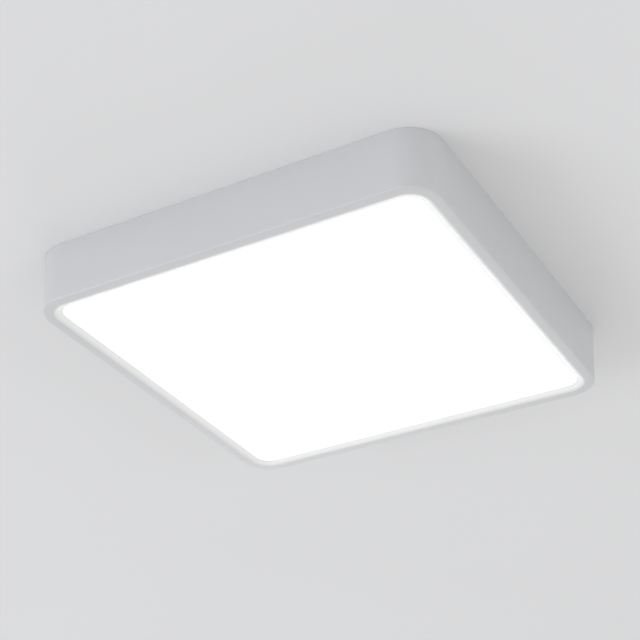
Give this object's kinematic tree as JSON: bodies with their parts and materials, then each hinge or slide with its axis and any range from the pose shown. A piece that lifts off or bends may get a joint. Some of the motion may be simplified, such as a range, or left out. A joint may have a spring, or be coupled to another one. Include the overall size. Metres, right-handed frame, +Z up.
{
  "type": "surface-mounted ceiling light",
  "caption": "Square surface-mounted ceiling light with a drafted white frame, rounded corners, sloped inner lip and flat lit opal window, hung from a channel bracket by spring clips.",
  "frame": {"origin": "on the ceiling plane, at the middle of the ceiling bracket's web, between its fixing slots", "axes": "+Z up into the ceiling, so the lit window faces -Z; +X along the ceiling bracket; the driver is on the +Y side"},
  "size_m": [0.3, 0.3, 0.043],
  "materials": {
    "frame_white": "satin white powder coat",
    "opal_diffuser": "opal acrylic, lit from behind",
    "guide_clear": "polished clear acrylic with printed dots",
    "reflector_white": "white film",
    "foam_grey": "closed-cell foam sheet",
    "plate_zinc": "zinc-coated sheet steel",
    "bracket_zinc": "zinc-coated sheet steel",
    "screw_zinc": "bright zinc",
    "spring_steel": "rolled spring steel",
    "rivet_aluminium": "plain",
    "board_white": "white solder mask on aluminium",
    "led_phosphor": "yellow phosphor in a white cup",
    "driver_white": "moulded, fine texture",
    "circuit_tan": "phenolic board",
    "can_black": "sleeved can",
    "can_blue": "sleeved can",
    "film_red": "dipped",
    "choke_black": "heat-shrink sleeve",
    "fuse_sleeve": "glazed tube",
    "chip_black": "moulded epoxy",
    "ferrite": "sintered, matte",
    "winding_yellow": "tape over wire",
    "terminal_grey": "moulded polyamide",
    "lever_orange": "moulded polyamide",
    "clamp_copper": "tinned copper alloy",
    "wire_brown": "smooth sheath",
    "wire_blue": "smooth sheath",
    "wire_earth": "green sheath with a yellow stripe",
    "wire_red": "smooth sheath",
    "wire_black": "smooth sheath",
    "grommet_black": "moulded",
    "earth_brass": "plain brass",
    "ring_tinned": "tinned"
  },
  "bodies": {
    "ceiling_mount": {"ceiling_bracket": "bracket_zinc", "cable_grommet": "grommet_black"},
    "light_body": {"back_plate": "plate_zinc", "back_plate_screws": "screw_zinc", "clip_rivets": "rivet_aluminium", "control_chip": "chip_black", "corner_links": "wire_red", "diffuser": "opal_diffuser", "driver_board": "circuit_tan", "driver_case": "driver_white", "driver_fuse": "fuse_sleeve", "driver_lid": "driver_white", "driver_screws": "screw_zinc", "earth_nut": "earth_brass", "earth_ring": "ring_tinned", "earth_stud": "earth_brass", "earth_washer": "screw_zinc", "film_capacitor": "film_red", "foam_pad": "foam_grey", "input_capacitor": "can_blue", "lead_earth": "wire_earth", "lead_live": "wire_brown", "lead_neutral": "wire_blue", "lead_sleeve": "grommet_black", "led_board_back": "board_white", "led_board_front": "board_white", "led_board_left": "board_white", "led_board_right": "board_white", "led_lead_black": "wire_black", "led_lead_red": "wire_red", "leds_back": "led_phosphor", "leds_front": "led_phosphor", "leds_left": "led_phosphor", "leds_right": "led_phosphor", "light_guide": "guide_clear", "line_choke": "choke_black", "outer_frame": "frame_white", "output_capacitor": "can_black", "rectifier": "chip_black", "reflector_sheet": "reflector_white", "spring_clip_1": "spring_steel", "spring_clip_2": "spring_steel", "spring_clip_3": "spring_steel", "spring_clip_4": "spring_steel", "terminal_clamps": "clamp_copper", "terminal_housing": "terminal_grey", "terminal_screws": "screw_zinc", "transformer_core": "ferrite", "transformer_winding": "winding_yellow"},
    "lever_earth": {"lever_earth": "lever_orange"},
    "lever_neutral": {"lever_neutral": "lever_orange"},
    "lever_live": {"lever_live": "lever_orange"}
  },
  "joints": [
    {"name": "body_drop", "type": "slide", "parent": "ceiling_mount", "child": "light_body", "axis": [0, 0, -1], "range_m": [0, 0.08], "deforming": ["spring_clip_1", "spring_clip_2", "spring_clip_3", "spring_clip_4"]},
    {"name": "lever_earth_lift", "type": "hinge", "parent": "light_body", "child": "lever_earth", "pos_m": [0.0354, -0.074, -0.0221], "axis": [0, 1, 0], "range_deg": [0, 95]},
    {"name": "lever_neutral_lift", "type": "hinge", "parent": "light_body", "child": "lever_neutral", "pos_m": [0.0354, -0.066, -0.0221], "axis": [0, 1, 0], "range_deg": [0, 95]},
    {"name": "lever_live_lift", "type": "hinge", "parent": "light_body", "child": "lever_live", "pos_m": [0.0354, -0.058, -0.0221], "axis": [0, 1, 0], "range_deg": [0, 95]}
  ]
}
